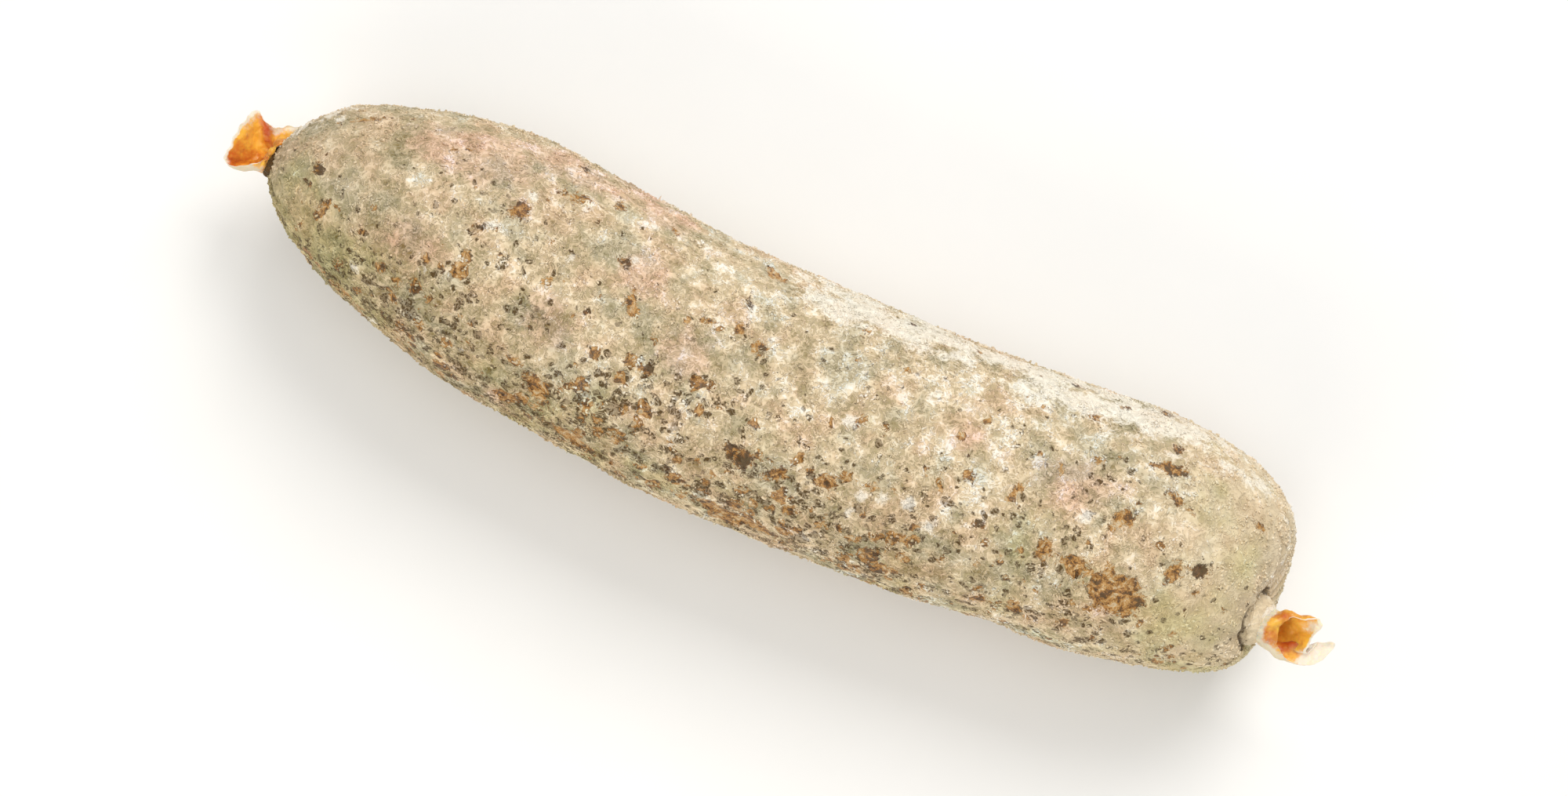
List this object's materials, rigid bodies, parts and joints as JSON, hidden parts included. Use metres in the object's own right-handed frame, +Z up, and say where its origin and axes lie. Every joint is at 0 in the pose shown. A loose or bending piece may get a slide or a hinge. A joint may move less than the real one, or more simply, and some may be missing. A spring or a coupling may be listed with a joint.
{
  "type": "cured sausage",
  "caption": "Whole dry-cured sausage in a pale mould-coated casing, slightly bent, tapered at one end and blunt at the other, each end with a short dried casing tail.",
  "frame": {"origin": "centre of the narrow flat on the underside, at mid-length, on which the sausage rests", "axes": "+X along the sausage from its tapered end to its blunt end, +Y to the hollow side of its bend, +Z up from the surface it rests on"},
  "size_m": [0.3307, 0.0772, 0.0705],
  "materials": {
    "mould_coated_casing": "matte",
    "dried_casing": "satin"
  },
  "bodies": {
    "root": {"sausage": "mould_coated_casing", "casing_tail_tapered": "dried_casing", "casing_tail_blunt": "dried_casing"}
  },
  "joints": []
}
